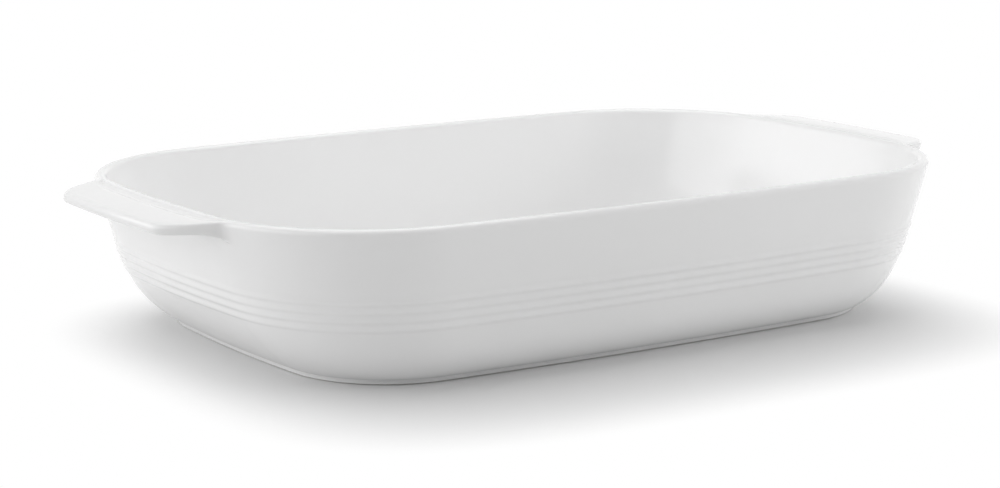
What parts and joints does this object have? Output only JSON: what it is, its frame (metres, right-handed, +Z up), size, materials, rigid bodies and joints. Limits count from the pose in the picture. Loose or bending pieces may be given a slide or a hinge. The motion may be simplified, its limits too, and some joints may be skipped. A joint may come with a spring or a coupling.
{
  "type": "baking dish",
  "caption": "White glazed rectangular baking dish with wide rounded corners, flared walls, a band of low ridges and a flat lug handle on each short end.",
  "frame": {"origin": "on the table, under the middle of the dish", "axes": "+X along the length, from the left handle to the right handle; +Z up, out of the open top"},
  "size_m": [0.38, 0.225, 0.064],
  "materials": {
    "white_glaze": "gloss",
    "bare_clay": "matte"
  },
  "bodies": {
    "root": {"dish_body": "white_glaze", "foot_ring": "bare_clay", "left_handle": "white_glaze", "right_handle": "white_glaze"}
  },
  "joints": []
}
